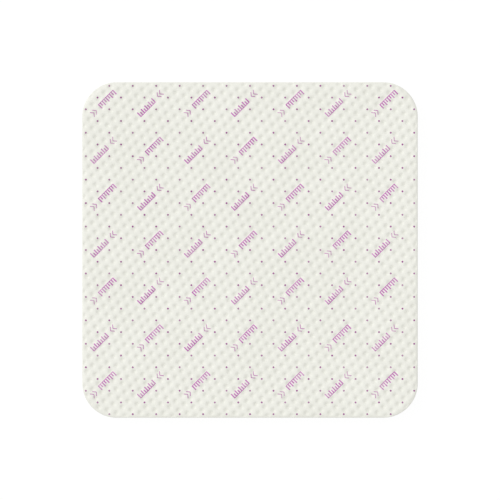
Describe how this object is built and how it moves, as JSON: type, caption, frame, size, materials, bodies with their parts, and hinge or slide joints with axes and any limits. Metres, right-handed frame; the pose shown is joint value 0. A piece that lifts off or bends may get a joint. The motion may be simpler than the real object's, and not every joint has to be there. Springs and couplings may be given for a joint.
{
  "type": "silicone foam dressing",
  "caption": "Square pad of soft wound foam with rounded corners, an embossed film face printed with small dots and marks, and a flat silicone skin face.",
  "frame": {"origin": "middle of the pad's flat silicone face, which is the lowest face", "axes": "+Z out of the embossed film face, away from the skin; +X and +Y along the pad's two sides, with +Y up in the picture"},
  "size_m": [0.1, 0.1, 0.004],
  "materials": {
    "film": "satin embossed film over white foam",
    "ink": "dull printed ink on the film"
  },
  "bodies": {
    "root": {"foam_dressing": "film"}
  },
  "joints": []
}
